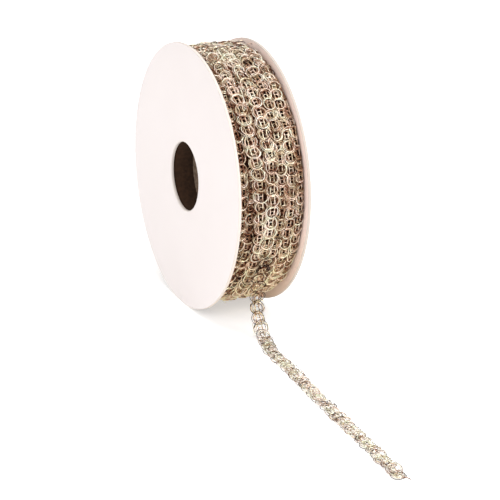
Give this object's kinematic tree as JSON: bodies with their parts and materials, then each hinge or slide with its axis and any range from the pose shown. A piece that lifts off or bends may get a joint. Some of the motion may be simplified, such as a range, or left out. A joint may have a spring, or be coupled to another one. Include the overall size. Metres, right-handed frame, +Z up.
{
  "type": "ribbon on spool",
  "caption": "Narrow metallic trim of lapping round loops, wound side by side on a pale board spool, its loose end hanging to the surface and lying out in front.",
  "frame": {"origin": "on the surface the spool stands on, under the middle of the spool without its loose end", "axes": "+X along the spool's axis from the front board to the back one, +Z up; the loose end lies towards -Y"},
  "size_m": [0.0282, 0.1995, 0.0899],
  "materials": {
    "cream_board": "pale printed board, satin",
    "brown_tube": "plain brown spiral-wound tube",
    "ring_trim": "champagne metallic yarn, crocheted loops"
  },
  "bodies": {
    "root": {"flange_front": "cream_board", "flange_back": "cream_board", "core_tube": "brown_tube", "wound_ribbon": "ring_trim", "loose_end": "ring_trim"}
  },
  "joints": []
}
